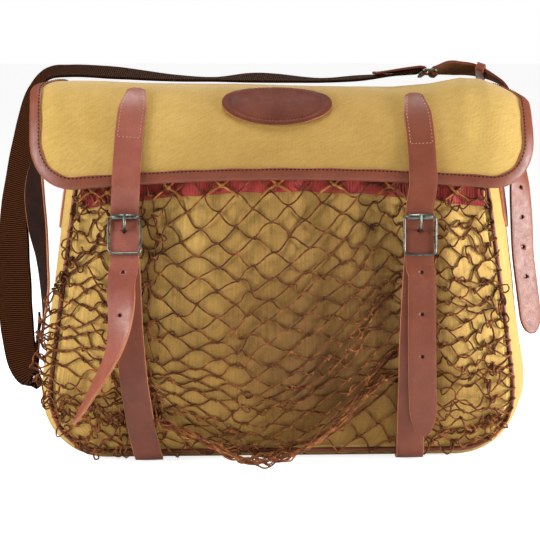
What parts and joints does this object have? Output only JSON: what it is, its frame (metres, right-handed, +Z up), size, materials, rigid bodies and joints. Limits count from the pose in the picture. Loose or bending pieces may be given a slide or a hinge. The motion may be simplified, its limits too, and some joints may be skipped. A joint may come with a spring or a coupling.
{
  "type": "hunting game bag",
  "caption": "Canvas shoulder bag for hunting, closed, with a leather-bound flap, buckled leather straps, a front pocket and a knotted net pouch over it.",
  "frame": {"origin": "centre of the flat bottom, on the floor", "axes": "+X to the right across the front, -Y out of the front, +Z up"},
  "size_m": [0.5015, 0.1863, 0.3629],
  "materials": {
    "canvas": "matte",
    "red_elastic": "matte",
    "twine": "matte",
    "leather": "satin",
    "dark_leather": "satin",
    "webbing": "matte",
    "nickel": "satin"
  },
  "bodies": {
    "root": {"front_panel": "canvas", "back_panel": "canvas", "gusset": "canvas", "pocket_panel": "canvas", "flap": "canvas", "pocket_band": "red_elastic", "net": "twine", "net_head_cord": "twine", "piping_front": "leather", "piping_back": "leather", "flap_binding": "leather", "oval_patch": "leather", "flap_strap_left": "leather", "flap_strap_right": "leather", "bottom_strap_left": "leather", "bottom_strap_right": "leather", "webbing_end": "leather", "shoulder_billet": "leather", "shoulder_keeper": "leather", "shoulder_anchor_right": "leather", "shoulder_leather_left": "dark_leather", "shoulder_webbing": "webbing", "buckle_frame_left": "nickel", "buckle_frame_right": "nickel", "buckle_frame_shoulder": "nickel", "buckle_roller_left": "nickel", "buckle_roller_right": "nickel", "buckle_roller_shoulder": "nickel", "buckle_prong_left": "nickel", "buckle_prong_right": "nickel", "buckle_prong_shoulder": "nickel", "webbing_ring": "nickel"}
  },
  "joints": []
}
